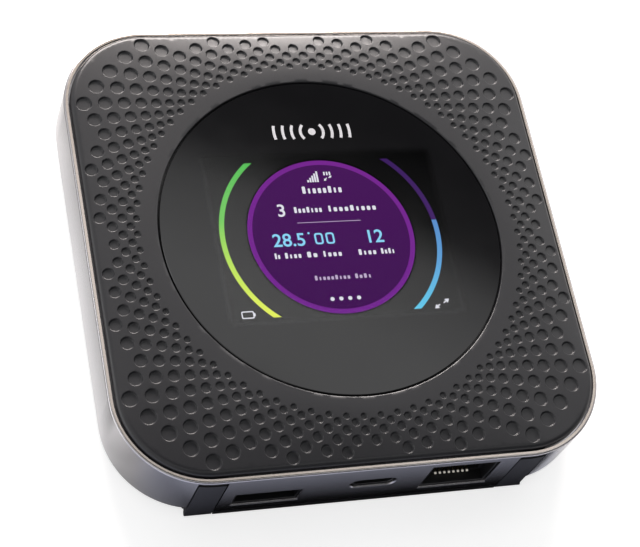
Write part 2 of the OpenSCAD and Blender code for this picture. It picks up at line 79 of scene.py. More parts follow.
class Graph:
    """A shader tree, with a short call for each common node. A value may be a socket to link."""

    def __init__(self, tree):
        self.tree = tree

    def put(self, value, socket):
        if isinstance(value, bpy.types.NodeSocket):
            self.tree.links.new(value, socket)
        else:
            socket.default_value = value

    def node(self, kind, inputs=None, **settings):
        node = self.tree.nodes.new("ShaderNode" + kind)
        for key, value in settings.items():
            setattr(node, key, value)
        for key, value in (inputs or {}).items():
            self.put(value, node.inputs[key])
        return node

    def coords(self, kind="Object"):
        return self.node("TexCoord").outputs[kind]

    def split(self, vector):
        """The x, y and z sockets of a vector."""
        return tuple(self.node("SeparateXYZ", {0: vector}).outputs)

    def math(self, operation, *values):
        return self.node("Math", dict(enumerate(values)), operation=operation).outputs[0]

    def product(self, first, second):
        return self.math("MULTIPLY", first, second)

    def remap(self, value, from_min, from_max, to_min=0.0, to_max=1.0):
        inputs = {"Value": value, "From Min": from_min, "From Max": from_max,
                  "To Min": to_min, "To Max": to_max}
        return self.node("MapRange", inputs).outputs["Result"]

    def noise(self, coords, size, detail=2.0, roughness=0.5):
        """Noise with features of a size in mm."""
        inputs = {"Vector": coords, "Scale": 1.0 / (size * MM),
                  "Detail": detail, "Roughness": roughness}
        return self.node("TexNoise", inputs).outputs["Fac"]

    def ramp(self, value, stops):
        """Colour ramp through (position, (r, g, b)) stops."""
        node = self.node("ValToRGB", {"Fac": value})
        elements = node.color_ramp.elements
        while len(elements) > 1:
            elements.remove(elements[-1])
        elements[0].position = stops[0][0]
        elements[0].color = (*stops[0][1], 1)
        for position, color in stops[1:]:
            elements.new(position).color = (*color, 1)
        return node.outputs["Color"]

    def grey_ramp(self, value, stops):
        return self.ramp(value, [(position, (level,) * 3) for position, level in stops])

    def mix(self, data_type, factor, first, second):
        place_a, place_b, result = MIX_SOCKETS[data_type]
        inputs = {0: factor, place_a: first, place_b: second}
        return self.node("Mix", inputs, data_type=data_type).outputs[result]

    def mix_shader(self, factor, first, second):
        return self.node("MixShader", {0: factor, 1: first, 2: second}).outputs[0]

    def surface(self, shader):
        self.node("OutputMaterial", {"Surface": shader})


def srgb(red, green, blue):
    """Linear colour from 0-255 sRGB values."""
    linear = []
    for value in (red, green, blue):
        value /= 255.0
        linear.append(value / 12.92 if value <= 0.04045 else ((value + 0.055) / 1.055) ** 2.4)
    return tuple(linear)


def new_material(name):
    material = bpy.data.materials.new(name)
    material.use_nodes = True
    material.node_tree.nodes.clear()
    return material, Graph(material.node_tree)


def open_finish(material):
    """The graph and the main shader node of a finish, for adding to it."""
    tree = material.node_tree
    shader = next(node for node in tree.nodes if node.type == "BSDF_PRINCIPLED")
    return Graph(tree), shader


# ---------------------------------------------------------------- materials

DRIFT_SIZE = 18.0         # mm, slow colour drift
NOISE_SPAN = (0.3, 0.7)   # part of the noise range that is used
GRAIN_TINT_SHARE = 0.6    # how much of the tint the fine grain carries


def finish(name, color, rough, grain, bump, tint, rough_var=0.08, metallic=0.0, spec=0.5,
           bevel=0.0, coat=0.0, brush=None):
    """Moulded, painted or metal finish. Grain size, bump height and bevel radius are in mm;
    tint and rough_var are drift either way; brush scales the grain along each axis."""
    material, graph = new_material(name)
    coords = graph.coords()
    grain_coords = coords
    if brush:
        mapping = graph.node("Mapping", {"Scale": brush, "Vector": coords})
        grain_coords = mapping.outputs["Vector"]
    fine = graph.noise(grain_coords, grain, detail=3.0, roughness=0.6)
    slow = graph.noise(coords, DRIFT_SIZE, detail=4.0)
    grain_tint = tint * GRAIN_TINT_SHARE
    tone = graph.product(
        graph.remap(slow, *NOISE_SPAN, 1.0 - tint, 1.0 + tint),
        graph.remap(fine, *NOISE_SPAN, 1.0 - grain_tint, 1.0 + grain_tint))
    tinted = graph.node("VectorMath", {0: color, "Scale": tone}, operation="SCALE")
    roughness = graph.remap(fine, *NOISE_SPAN,
                            max(0.02, rough - rough_var), min(1.0, rough + rough_var))
    relief = graph.node("Bump", {"Strength": 1.0, "Distance": bump * MM, "Height": fine})
    if bevel:
        edge = graph.node("Bevel", {"Radius": bevel * MM}, samples=4)
        graph.put(edge.outputs["Normal"], relief.inputs["Normal"])
    shader = graph.node("BsdfPrincipled", {
        "Base Color": tinted.outputs[0], "Roughness": roughness, "Metallic": metallic,
        "Specular IOR Level": spec, "Coat Weight": coat, "Coat Roughness": 0.1,
        "Normal": relief.outputs["Normal"]})
    graph.surface(shader.outputs[0])
    return material


def lit_screen(name, stops, span=(-20, 20)):
    """Glowing screen colour, graded along Y over a span in mm, with a fine cell pattern."""
    material, graph = new_material(name)
    coords = graph.coords()
    height = graph.split(coords)[1]
    color = graph.ramp(graph.remap(height, span[0] * MM, span[1] * MM), stops)
    cells = graph.remap(graph.noise(coords, size=0.15), 0.0, 1.0, to_min=0.94, to_max=1.06)
    glow = graph.node("VectorMath", {0: color, "Scale": cells}, operation="SCALE")
    shader = graph.node("BsdfPrincipled", {
        "Base Color": (0.001, 0.001, 0.001, 1), "Roughness": 0.5, "Specular IOR Level": 0.0,
        "Emission Color": glow.outputs[0], "Emission Strength": 1.0})
    graph.surface(shader.outputs[0])
    return material


def plain(*color):
    """Stops for a screen colour, given in sRGB, that doesn't change."""
    return [(0, srgb(*color)), (1, srgb(*color))]


CLEAR_HALF_X = 26.5         # clear area of the glass, half sizes
CLEAR_HALF_Y = 20.6
CLEAR_FADE = 1.6            # width of its soft border
LIT_CENTRE = (-0.4, -0.55)  # disc where reflections are held back
LIT_EDGE = (18.2, 18.9)     # radii where they return
LIT_REFLECTION = 0.04       # share of the reflection kept over the disc
GLASS_GAIN = 1.13           # strength of the reflection outside it


def window_glass():
    """Polished glass: clear over the lit area, printed black around it, with a faint haze."""
    material, graph = new_material("window_glass")
    coords = graph.coords()
    x, y, _ = graph.split(coords)

    def inside(value, limit):
        return graph.remap(graph.math("ABSOLUTE", value), (limit - CLEAR_FADE) * MM, limit * MM,
                           to_min=1.0, to_max=0.0)

    clear_area = graph.product(inside(x, CLEAR_HALF_X), inside(y, CLEAR_HALF_Y))
    haze = graph.remap(graph.noise(coords, size=9, detail=5), 0.35, 0.7,
                       to_min=0.035, to_max=0.075)
    ink = graph.node("BsdfPrincipled", {
        "Base Color": (0.0045, 0.0045, 0.0052, 1), "Specular IOR Level": 0.5,
        "Roughness": haze}).outputs[0]
    clear = graph.node("BsdfTransparent", {"Color": (0.96, 0.96, 0.97, 1)}).outputs[0]
    gloss = graph.node("BsdfGlossy", {"Color": (1, 1, 1, 1), "Roughness": haze}).outputs[0]
    fresnel = graph.node("Fresnel", {"IOR": 1.5}).outputs[0]

    # The lit disc outshines the reflection over it
    centre = (LIT_CENTRE[0] * MM, LIT_CENTRE[1] * MM, 0)
    offset = graph.node("VectorMath", {0: coords, 1: centre}, operation="SUBTRACT").outputs[0]
    flat = graph.node("VectorMath", {0: offset, 1: (1, 1, 0)}, operation="MULTIPLY").outputs[0]
    radius = graph.node("VectorMath", {0: flat}, operation="LENGTH").outputs["Value"]
    gain = graph.remap(radius, LIT_EDGE[0] * MM, LIT_EDGE[1] * MM,
                       to_min=LIT_REFLECTION, to_max=GLASS_GAIN)
    outer_face = graph.mix_shader(graph.product(fresnel, gain), clear, gloss)
    backfacing = graph.node("NewGeometry").outputs["Backfacing"]
    glass = graph.mix_shader(backfacing, outer_face, clear)
    graph.surface(graph.mix_shader(clear_area, ink, glass))
    return material


BAND_COAT = 0.15
BAND_HIGHLIGHT_Z = (17.9, 18.04)    # height over which the painted highlight on the top edge comes in
RECESS_X = (31.04, 37.36)     # flap recesses, either side of the middle
RECESS_TOP_Z = 17.46
RECESS_INNER_Y = -50.5
RECESS_FRONT_Y = -52.62       # front limit, as far out as RECESS_BEND_X
RECESS_BEND_X = 33.4          # beyond this the limit slants back
RECESS_SLANT = -0.1


def band_metallic():
    """Satin metallic paint, with a painted highlight (a paler, warmer colour) on the narrow top
    edge and painted shade (black) inside the flap recesses.
    """
    material = finish("band_metallic", (0.50, 0.485, 0.50), rough=0.23, metallic=1.0, grain=0.05,
                      bump=0.0012, tint=0.04, rough_var=0.05, bevel=0.12, coat=BAND_COAT)
    graph, shader = open_finish(material)
    paint = shader.inputs["Base Color"].links[0].from_socket
    x, y, z = graph.split(graph.coords())
    normal_z = graph.split(graph.node("NewGeometry").outputs["Normal"])[2]

    # Painted highlight: a paler, warmer colour on the upward-facing top edge
    top_edge_highlight = graph.product(graph.remap(normal_z, 0.93, 1.0),
                             graph.remap(z, BAND_HIGHLIGHT_Z[0] * MM, BAND_HIGHLIGHT_Z[1] * MM))
    # Painted shade: black inside the flap recesses, with the coat taken off there
    side = graph.math("ABSOLUTE", x, 0.0)
    recess_shade = graph.product(graph.math("GREATER_THAN", side, RECESS_X[0] * MM),
                           graph.math("LESS_THAN", side, RECESS_X[1] * MM))
    recess_shade = graph.product(recess_shade, graph.product(
        graph.math("LESS_THAN", z, RECESS_TOP_Z * MM),
        graph.math("LESS_THAN", y, RECESS_INNER_Y * MM)))
    past_bend = graph.math("MAXIMUM", graph.math("SUBTRACT", side, RECESS_BEND_X * MM), 0.0)
    slanted = graph.math("ADD", y, graph.product(past_bend, RECESS_SLANT))
    recess_shade = graph.product(recess_shade, graph.math("GREATER_THAN", slanted, RECESS_FRONT_Y * MM))

    color = graph.mix("RGBA", top_edge_highlight, paint, (0.66, 0.585, 0.53, 1))
    color = graph.mix("RGBA", recess_shade, color, (0.008, 0.008, 0.009, 1))
    graph.put(color, shader.inputs["Base Color"])
    coat = graph.math("SUBTRACT", BAND_COAT, graph.product(recess_shade, BAND_COAT))
    graph.put(coat, shader.inputs["Coat Weight"])
    return material


FLAP_SHADE_Z = (16.12, 16.24)   # height over which the painted shade at the top of the flaps comes in


def flap_rubber():
    """Moulded rubber, with painted shade (near black) on the thin set-back edge at the top of
    each flap.
    """
    material = finish("flap_rubber", srgb(50, 50, 55), rough=0.62, grain=0.12, bump=0.006,
                      tint=0.08, bevel=0.22, spec=0.35)
    graph, shader = open_finish(material)
    rubber = shader.inputs["Base Color"].links[0].from_socket
    z = graph.split(graph.coords())[2]
    # Painted shade: near black on the set-back top edge of the flaps
    edge = graph.remap(z, FLAP_SHADE_Z[0] * MM, FLAP_SHADE_Z[1] * MM)
    color = graph.mix("RGBA", edge, rubber, (0.004, 0.004, 0.0045, 1))
    graph.put(color, shader.inputs["Base Color"])
    return material


WIRE_GLINT_Y = (-50.15, -50.3)   # the painted glint comes in between these, towards the front


def contact_wire():
    """Plated contact wires, with a painted glint (emission) on their front tips."""
    material = finish("contact_wire", (0.80, 0.66, 0.42), rough=0.24, metallic=1.0, grain=0.06,
                      bump=0.001, tint=0.05)
    graph, shader = open_finish(material)
    y = graph.split(graph.coords())[1]
    # Painted glint: emission on the front tips of the wires
    glow = graph.remap(y, WIRE_GLINT_Y[0] * MM, WIRE_GLINT_Y[1] * MM, to_min=0.0, to_max=0.40)
    graph.put((1.0, 0.95, 0.85, 1), shader.inputs["Emission Color"])
    graph.put(glow, shader.inputs["Emission Strength"])
    return material


# ---------------------------------------------------------------- dimpled cover

_, cover_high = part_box("top_cover")
COVER_HALF = cover_high.x / MM
COVER_CORNER = 18.0
COVER_TOP = cover_high.z / MM
CROWN_DROP = 1.17            # fall of the face from the flat middle to the shoulder
CROWN_POWER = 1.85
SHOULDER = 1.15              # width of the rounded outer edge
RIM_Z = COVER_TOP - 2.3      # where that edge meets the upright wall
FLAT_R = 38.6                # the face is flat inside this
HOLE_R = 37.66               # window opening
FACE_HOLE_R = HOLE_R + 0.26  # inner and outer edges of the face mesh
FACE_INSET = 0.34
LOOP_POINTS = 360
LOOP_ANGLES = np.arange(LOOP_POINTS) * 2 * math.pi / LOOP_POINTS
PLAIN = -1                   # owner of a point that lies in no dimple

DIMPLE_RINGS = 8
DIMPLES_PER_RING = 72
DIMPLE_LIMIT = 49.3          # dimples centred further out than this in x or y are left out
# Distances from a dimple's edge at which it gets a ring of points
DIMPLE_OFFSETS = (0.09, 0.03, -0.03, -0.10, -0.17, -0.24, -0.32)

# Points on the plain part of the face
PLAIN_CIRCLES = ((FLAT_R, 200), (39.3, 180), (40.1, 180))   # radius, count
# Inset from the rim, count
PLAIN_OUTLINES = ((0.44, 360), (0.56, 360), (0.72, 360), (0.92, 360),
                  (1.18, 300), (1.6, 260), (2.2, 240))
GRID_REACH = 50
GRID_STEP = 1.25
GRID_STAGGER = 0.6
GRID_INNER_R = 40.6
GRID_INSET = 2.8

# The rest of the shell, as loops from the rim down, across the underside and up to the window
ROUND_EDGE_INSETS = (0.25, 0.17, 0.10, 0.05, 0.015)
SKIRT = ((0.0, RIM_Z), (0.0, 17.05), (0.15, 16.9), (1.9, 16.9), (2.2, 17.05))   # inset, z
SEAT = ((40, 18.75), (40, 18.2), (35.2, 18.2), (35.2, 18.95),                   # radius, z
        (HOLE_R, 18.95), (HOLE_R, 20.06), (HOLE_R + 0.03, 20.2), (HOLE_R + 0.12, 20.31))
UNDERSIDE_STEPS = (0.25, 0.5, 0.75)

BOSS_OFFSET = 40             # screw bosses, from the middle in x and y
BOSS_PROFILE = ((2.75, 11.4), (2.75, 17.3), (1.03, 17.3), (1.03, 11.4))   # radius, z
BOSS_SEGMENTS = 32


def rim_radius(angle, half, corner):
    """Distance from the centre to a rounded square, in the direction of angle."""
    folded = np.abs((angle + math.pi / 4) % (math.pi / 2) - math.pi / 4)
    straight = half - corner
    reach = straight * (np.cos(folded) + np.sin(folded))
    root = np.sqrt(np.maximum(reach * reach - 2 * straight * straight + corner * corner, 0))
    return np.where(half * np.tan(folded) <= straight, half / np.cos(folded), reach + root)


def inset_radius(angle, inset):
    return rim_radius(angle, COVER_HALF - inset, COVER_CORNER - inset)


def rim_gap(x, y):
    """Distance in from the rounded square outline of the cover."""
    straight = COVER_HALF - COVER_CORNER
    past_x = np.abs(x) - straight
    past_y = np.abs(y) - straight
    corner = COVER_CORNER - np.hypot(np.maximum(past_x, 0), np.maximum(past_y, 0))
    side = COVER_HALF - np.maximum(np.abs(x), np.abs(y))
    return np.where((past_x > 0) & (past_y > 0), corner, side)


def smooth_height(x, y):
    """Height of the face without dimples: flat middle, crowned border, rounded shoulder."""
    radius = np.hypot(x, y)
    angle = np.arctan2(y, x)
    span = inset_radius(angle, SHOULDER) - FLAT_R
    crown = np.maximum((radius - FLAT_R) / span, 0)
    z = COVER_TOP - CROWN_DROP * crown ** CROWN_POWER
    crown_end = (rim_radius(angle, COVER_HALF, COVER_CORNER) - FLAT_R) / span
    left = COVER_TOP - CROWN_DROP * crown_end ** CROWN_POWER - RIM_Z
    turn = np.clip((SHOULDER - rim_gap(x, y)) / SHOULDER, 0, 1)
    return z - left * (1 - np.sqrt(1 - turn * turn))


def place_dimples():
    """Dimples as (x, y, radius, ring), in staggered rings that grow outwards."""
    dimples = []
    for ring in range(DIMPLE_RINGS):
        ring_radius = 42.0 + 1.06 * ring + 0.2035 * ring * ring
        diameter = 1.55 + 0.27 * ring
        stagger = 0.5 if ring % 2 == 0 else 0
        for k in range(DIMPLES_PER_RING):
            angle = math.radians(360 / DIMPLES_PER_RING * (k + stagger))
            x = ring_radius * math.cos(angle)
            y = ring_radius * math.sin(angle)
            if max(abs(x), abs(y)) < DIMPLE_LIMIT:
                dimples.append((x, y, diameter / 2, ring))
    return dimples


DIMPLES = place_dimples()
DIMPLE_X, DIMPLE_Y, DIMPLE_R = (np.array([dimple[k] for dimple in DIMPLES]) for k in range(3))


def face_height(x, y, owner):
    """Height of the face, sunk where the point belongs to a dimple."""
    z = smooth_height(x, y)
    k = np.maximum(owner, 0)
    past_edge = np.hypot(x - DIMPLE_X[k], y - DIMPLE_Y[k]) - DIMPLE_R[k]
    ease = np.clip((past_edge + 0.32) / 0.35, 0, 1)
    sunk = 1 - ease * ease * (3 - 2 * ease)
    depth = -(0.37 + 0.05 * DIMPLE_R[k]) * sunk
    return z + np.where(owner >= 0, depth, 0)


def outline_loop(inset, z=None):
    """Loop parallel to the rim, at height z or else on the smooth face."""
    radius = inset_radius(LOOP_ANGLES, inset)
    x = radius * np.cos(LOOP_ANGLES)
    y = radius * np.sin(LOOP_ANGLES)
    heights = smooth_height(x, y) if z is None else np.full(LOOP_POINTS, z)
    return np.stack([x, y, heights], 1)


def circle_loop(radius, z):
    return np.stack([radius * np.cos(LOOP_ANGLES), radius * np.sin(LOOP_ANGLES),
                     np.full(LOOP_POINTS, z)], 1)


def plain_points():
    """Points between the dimples: circles by the window, outlines by the rim, a grid between."""
    points = []
    for radius, count in PLAIN_CIRCLES:
        for k in range(count):
            points.append((radius * math.cos(2 * math.pi * k / count),
                           radius * math.sin(2 * math.pi * k / count)))
    for inset, count in PLAIN_OUTLINES:
        # A slight turn keeps the points from lining up with the edge loop
        angles = np.arange(count) * 2 * math.pi / count + 0.004
        radii = inset_radius(angles, inset)
        points += list(zip(radii * np.cos(angles), radii * np.sin(angles)))
    grid = np.arange(-GRID_REACH, GRID_REACH + 0.1, GRID_STEP)
    for row, y in enumerate(grid):
        for x in grid + (GRID_STAGGER if row % 2 else 0):
            angle = np.array([math.atan2(y, x)])
            limit = float(inset_radius(angle, GRID_INSET)[0])
            if GRID_INNER_R < math.hypot(x, y) < limit:
                points.append((x, y))
    spots = np.array(points)
    x, y = spots[:, 0], spots[:, 1]
    gaps = np.hypot(x[:, None] - DIMPLE_X[None], y[:, None] - DIMPLE_Y[None]) - DIMPLE_R[None]
    clearance = np.where(rim_gap(x, y) < 2.3, 0.2, 0.3)
    kept = spots[gaps.min(1) > clearance]
    return [(float(x), float(y)) for x, y in kept]


def face_points():
    """All (x, y) points of the face and the dimple that each belongs to, or PLAIN."""
    borders = (outline_loop(FACE_INSET), circle_loop(FACE_HOLE_R, COVER_TOP))
    points = [(spot[0], spot[1]) for loop in borders for spot in loop]
    owners = [PLAIN] * len(points)
    for index, (x, y, radius, ring) in enumerate(DIMPLES):
        segments = 20 if ring < 3 else 24
        for q, offset in enumerate(DIMPLE_OFFSETS):
            for k in range(segments):
                angle = 2 * math.pi * (k + 0.5 * (q % 2)) / segments
                points.append((x + (radius + offset) * math.cos(angle),
                               y + (radius + offset) * math.sin(angle)))
        points.append((x, y))
        owners += [index] * (len(DIMPLE_OFFSETS) * segments + 1)
    loose = plain_points()
    return points + loose, owners + [PLAIN] * len(loose)


def face_normals(x, y, owner):
    """Exact normals of the face, from the slope of its height."""
    step = 0.01
    slope_x = -(face_height(x + step, y, owner) - face_height(x - step, y, owner)) / (2 * step)
    slope_y = -(face_height(x, y + step, owner) - face_height(x, y - step, owner)) / (2 * step)
    normals = np.stack([slope_x, slope_y, np.ones_like(slope_x)], 1)
    return normals / np.linalg.norm(normals, axis=1)[:, None]


def face_triangles(points, x, y):
    """Triangles over the face, facing up, without those in the window or outside the rim."""
    edges = []
    for start in (0, LOOP_POINTS):
        edges += [(start + k, start + (k + 1) % LOOP_POINTS) for k in range(LOOP_POINTS)]
    spots, _, faces, sources, _, _ = delaunay_2d_cdt(
        [Vector(point) for point in points], edges, [], 0, 1e-6)
    assert len(spots) == len(points), "face points have merged"
    original = [source[0] for source in sources]
    triangles = []
    for face in faces:
        a, b, c = (original[k] for k in face)
        if math.hypot((x[a] + x[b] + x[c]) / 3, (y[a] + y[b] + y[c]) / 3) < HOLE_R + 0.255:
            continue
        if max(a, b, c) < LOOP_POINTS:
            continue
        area = (x[b] - x[a]) * (y[c] - y[a]) - (x[c] - x[a]) * (y[b] - y[a])
        if abs(area) < 1e-9:
            continue
        triangles.append((a, b, c) if area > 0 else (a, c, b))
    return triangles


def shell_loops():
    """Loops of the rounded edge, skirt, underside, window seat and lip."""
    loops = [outline_loop(inset) for inset in ROUND_EDGE_INSETS]
    loops += [outline_loop(inset, z) for inset, z in SKIRT]
    skirt_end = loops[-1]
    seat = [circle_loop(radius, z) for radius, z in SEAT]
    loops += [skirt_end * (1 - t) + seat[0] * t for t in UNDERSIDE_STEPS]
    return loops + seat


def add_shell(verts, faces):
    """Joins the two edge loops of the face, which are the first verts, through the shell."""
    n = LOOP_POINTS
    base = len(verts)
    loops = shell_loops()
    for loop in loops:
        verts += [tuple(spot) for spot in loop]
    starts = [0] + [base + q * n for q in range(len(loops))] + [n]
    for upper, lower in zip(starts, starts[1:]):
        for k in range(n):
            after = (k + 1) % n
            faces.append((upper + k, lower + k, lower + after, upper + after))


def add_boss(verts, faces, centre_x, centre_y):
    """Screw boss: a closed tube just clear of the underside."""
    n = BOSS_SEGMENTS
    base = len(verts)
    for radius, z in BOSS_PROFILE:
        for k in range(n):
            angle = 2 * math.pi * k / n
            verts.append((centre_x + radius * math.cos(angle),
                          centre_y + radius * math.sin(angle), z))
    for q in range(len(BOSS_PROFILE)):
        this_ring = base + q * n
        next_ring = base + (q + 1) % len(BOSS_PROFILE) * n
        for k in range(n):
            after = (k + 1) % n
            faces.append((this_ring + k, this_ring + after, next_ring + after, next_ring + k))


def build_cover(material):
    points, owners = face_points()
    x, y = np.array(points).T
    owner = np.array(owners)
    z = face_height(x, y, owner)
    normals = face_normals(x, y, owner)
    faces = face_triangles(points, x, y)
    face_count = len(faces)
    verts = list(zip(x, y, z))
    add_shell(verts, faces)
    for side_x in (-1, 1):
        for side_y in (-1, 1):
            add_boss(verts, faces, side_x * BOSS_OFFSET, side_y * BOSS_OFFSET)

    mesh = bpy.data.meshes.new("cover_shell")
    mesh.from_pydata([(x * MM, y * MM, z * MM) for x, y, z in verts], [], faces)
    mesh.update()
    for polygon in mesh.polygons:
        polygon.use_smooth = True
    mesh.set_sharp_from_angle(angle=math.radians(42))
    # Exact normals on the face; a zero normal keeps the automatic one
    corner_normals = []
    for polygon in mesh.polygons:
        on_face = polygon.index < face_count
        for k in polygon.vertices:
            corner_normals.append(tuple(normals[k]) if on_face else (0.0, 0.0, 0.0))
    mesh.normals_split_custom_set(corner_normals)

    cover = bpy.data.objects.new("cover_shell", mesh)
    scene.collection.objects.link(cover)
    mesh.materials.append(material)
    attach(cover, "casing")
    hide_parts("top_cover")


build_cover(finish("cover_satin", srgb(38, 38, 41), rough=0.31, grain=0.10, bump=0.003,
                   tint=0.05, rough_var=0.04))


# ---------------------------------------------------------------- flat plates

class Plates:
    """Collects closed plates, in mm, into one object. A layer is (bottom z, top z)."""

    def __init__(self):
        self.verts = []
        self.faces = []

    def add(self, verts, faces):
        base = len(self.verts)
        self.verts += [tuple(value * MM for value in vert) for vert in verts]
        self.faces += [tuple(k + base for k in face) for face in faces]

    def prism(self, loop, layer):
        """Straight-sided plate from a counter-clockwise loop of (x, y)."""
        n = len(loop)
        faces = [tuple(range(n - 1, -1, -1)), tuple(range(n, 2 * n))]
        faces += [(k, (k + 1) % n, n + (k + 1) % n, n + k) for k in range(n)]
        self.add([(x, y, z) for z in layer for x, y in loop], faces)

    def strip(self, outer, inner, layer, closed):
        """Flat band between two loops of equal length; open ones are capped."""
        n = len(outer)
        faces = []
        for k in range(n if closed else n - 1):
            after = (k + 1) % n
            faces.append((2 * n + k, 2 * n + after, 3 * n + after, 3 * n + k))
            faces.append((after, k, n + k, n + after))
            faces.append((k, after, 2 * n + after, 2 * n + k))
            faces.append((n + after, n + k, 3 * n + k, 3 * n + after))
        if not closed:
            end = n - 1
            faces.append((0, 2 * n, 3 * n, n))
            faces.append((end, n + end, 3 * n + end, 2 * n + end))
        self.add([(x, y, z) for z in layer for x, y in outer + inner], faces)

    def build(self, name, material):
        mesh = bpy.data.meshes.new(name)
        mesh.from_pydata(self.verts, [], self.faces)
        mesh.update()
        mesh.validate()
        for polygon in mesh.polygons:
            polygon.use_smooth = True
        mesh.set_sharp_from_angle(angle=math.radians(35))
        plate = bpy.data.objects.new(name, mesh)
        scene.collection.objects.link(plate)
        mesh.materials.append(material)
        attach(plate, "casing")
        clean_normals(mesh)


def clean_normals(mesh, merge=None):
    """Turns all faces outwards, after merging points closer than merge, if given."""
    work = bmesh.new()
    work.from_mesh(mesh)
    if merge:
        bmesh.ops.remove_doubles(work, verts=work.verts, dist=merge)
    bmesh.ops.recalc_face_normals(work, faces=work.faces)
    work.to_mesh(mesh)
    work.free()


def round_rect(centre_x, centre_y, width, height, corner, steps):
    corner = min(corner, width / 2, height / 2)
    points = []
    for side_x, side_y, start in ((1, 1, 0), (-1, 1, 90), (-1, -1, 180), (1, -1, 270)):
        for k in range(steps + 1):
            angle = math.radians(start + 90 * k / steps)
            points.append(
                (centre_x + side_x * (width / 2 - corner) + corner * math.cos(angle),
                 centre_y + side_y * (height / 2 - corner) + corner * math.sin(angle)))
    return points


def rect(x0, y0, x1, y1):
    return [(x0, y0), (x1, y0), (x1, y1), (x0, y1)]


def arc(centre_x, centre_y, radius, start, end, steps):
    """Points along an arc, with its angles in degrees."""
    angles = [math.radians(start + (end - start) * k / steps) for k in range(steps + 1)]
    return [(centre_x + radius * math.cos(angle), centre_y + radius * math.sin(angle))
            for angle in angles]


def circle(centre_x, centre_y, radius, count):
    return arc(centre_x, centre_y, radius, 0, 360 - 360 / count, count - 1)


# ---------------------------------------------------------------- screen content

_, window_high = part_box("display_window")
_, panel_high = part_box("lcd_panel")
SCREEN_Z = panel_high.z / MM + 0.01              # just above the panel, under the glass
LOWER = (SCREEN_Z, SCREEN_Z + 0.02)              # disc, ring and gauges
UPPER = (SCREEN_Z + 0.022, SCREEN_Z + 0.036)     # figures, words and icons

GAUGE_OUTER_R = 24.46
GAUGE_INNER_R = 23.36
GAUGE_REACH = 18.3        # the gauges end level, this far above and below the middle
GAUGE_SPLIT = (2.8, 2.7)  # the right gauge is parted between these heights
GAUGE_STEPS = 72

PURPLE = lit_screen("screen_purple", [(0, srgb(66, 20, 84)), (1, srgb(74, 26, 92))])
RING = lit_screen("screen_ring", [(0, srgb(118, 42, 146)), (1, srgb(122, 42, 146))])
WARM = lit_screen("screen_arc_warm", [(0, srgb(238, 246, 66)), (0.35, srgb(190, 232, 72)),
                                      (0.62, srgb(112, 208, 86)), (1, srgb(84, 196, 88))])
VIOLET = lit_screen("screen_arc_violet", [(0, srgb(80, 40, 118)), (1, srgb(60, 28, 96))])
BLUE = lit_screen("screen_arc_blue", [(0, srgb(84, 205, 238)), (0.5, srgb(90, 165, 222)),
                                      (1, srgb(96, 148, 212))], span=(-18.4, 2.8))
LIGHT_BLUE = lit_screen("screen_light_blue", [(0, srgb(140, 214, 250)), (1, srgb(150, 222, 252))])
WHITE = lit_screen("screen_white", plain(232, 232, 240))
DIM = lit_screen("screen_dim", plain(196, 178, 208))

# Lines of blocks in place of words: x from, x to, baseline y, height, count
TEXT_LINES = (
    (-4.75, 4.55, 10.35, 1.75, 8),
    (-7.4, -0.9, 5.75, 1.45, 7), (0.1, 11.4, 5.75, 1.45, 9),
    (-13.6, -12.2, -4.95, 1.35, 2), (-11.4, -7.5, -4.95, 1.35, 4),
    (-6.6, -3.9, -4.95, 1.35, 2), (-3.1, 1.5, -4.95, 1.35, 4),
    (4.9, 9.2, -4.95, 1.35, 4), (10.0, 13.3, -4.95, 1.35, 4),
)
FOOTNOTE_LINES = ((-5.9, 2.2, -10.4, 1.1, 9), (3.0, 6.9, -10.4, 1.1, 4))


def disc_and_ring():
    disc = Plates()
    disc.prism(circle(0, 0, 17.3, 144), LOWER)
    disc.build("screen_disc", PURPLE)
    ring = Plates()
    ring.strip(circle(0, 0, 18.4, 144), circle(0, 0, 17.32, 144), LOWER, closed=True)
    ring.build("screen_ring", RING)


def gauge(name, side, top, bottom, material):
    """Arc on one side (-1 left, 1 right) between two heights; both ends are level."""
    edges = []
    for radius in (GAUGE_OUTER_R, GAUGE_INNER_R):
        start, end = math.asin(top / radius), math.asin(bottom / radius)
        angles = [start + (end - start) * k / GAUGE_STEPS for k in range(GAUGE_STEPS + 1)]
        edges.append([(side * radius * math.cos(angle), radius * math.sin(angle))
                      for angle in angles])
    plates = Plates()
    plates.strip(*edges, LOWER, closed=False)
    plates.build(name, material)


def number(name, text, centre_x, centre_y, height, material):
    """A figure on the screen, from the built-in typeface, as a closed plate."""
    curve = bpy.data.curves.new(name + "_c", "FONT")
    curve.body = text
    curve.size = 1.0
    curve.extrude = 0.5
    curve.offset = 0.013    # thickens the strokes
    curve.resolution_u = 6
    source = bpy.data.objects.new(name + "_t", curve)
    scene.collection.objects.link(source)
    bpy.context.view_layer.update()
    depsgraph = bpy.context.evaluated_depsgraph_get()
    mesh = bpy.data.meshes.new_from_object(source.evaluated_get(depsgraph))
    bpy.data.objects.remove(source)

    spots = np.array([vert.co for vert in mesh.vertices])
    low, high = spots.min(0), spots.max(0)
    scale = height * MM / (high[1] - low[1])
    bottom, top = UPPER
    for vert in mesh.vertices:
        x, y, z = vert.co
        vert.co = ((x - (low[0] + high[0]) / 2) * scale + centre_x * MM,
                   (y - (low[1] + high[1]) / 2) * scale + centre_y * MM,
                   (bottom + (top - bottom) * (z + 0.5)) * MM)
    mesh.name = name
    clean_normals(mesh, merge=1e-7)
    figure = bpy.data.objects.new(name, mesh)
    scene.collection.objects.link(figure)
    mesh.materials.clear()
    mesh.materials.append(material)
    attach(figure, "casing")


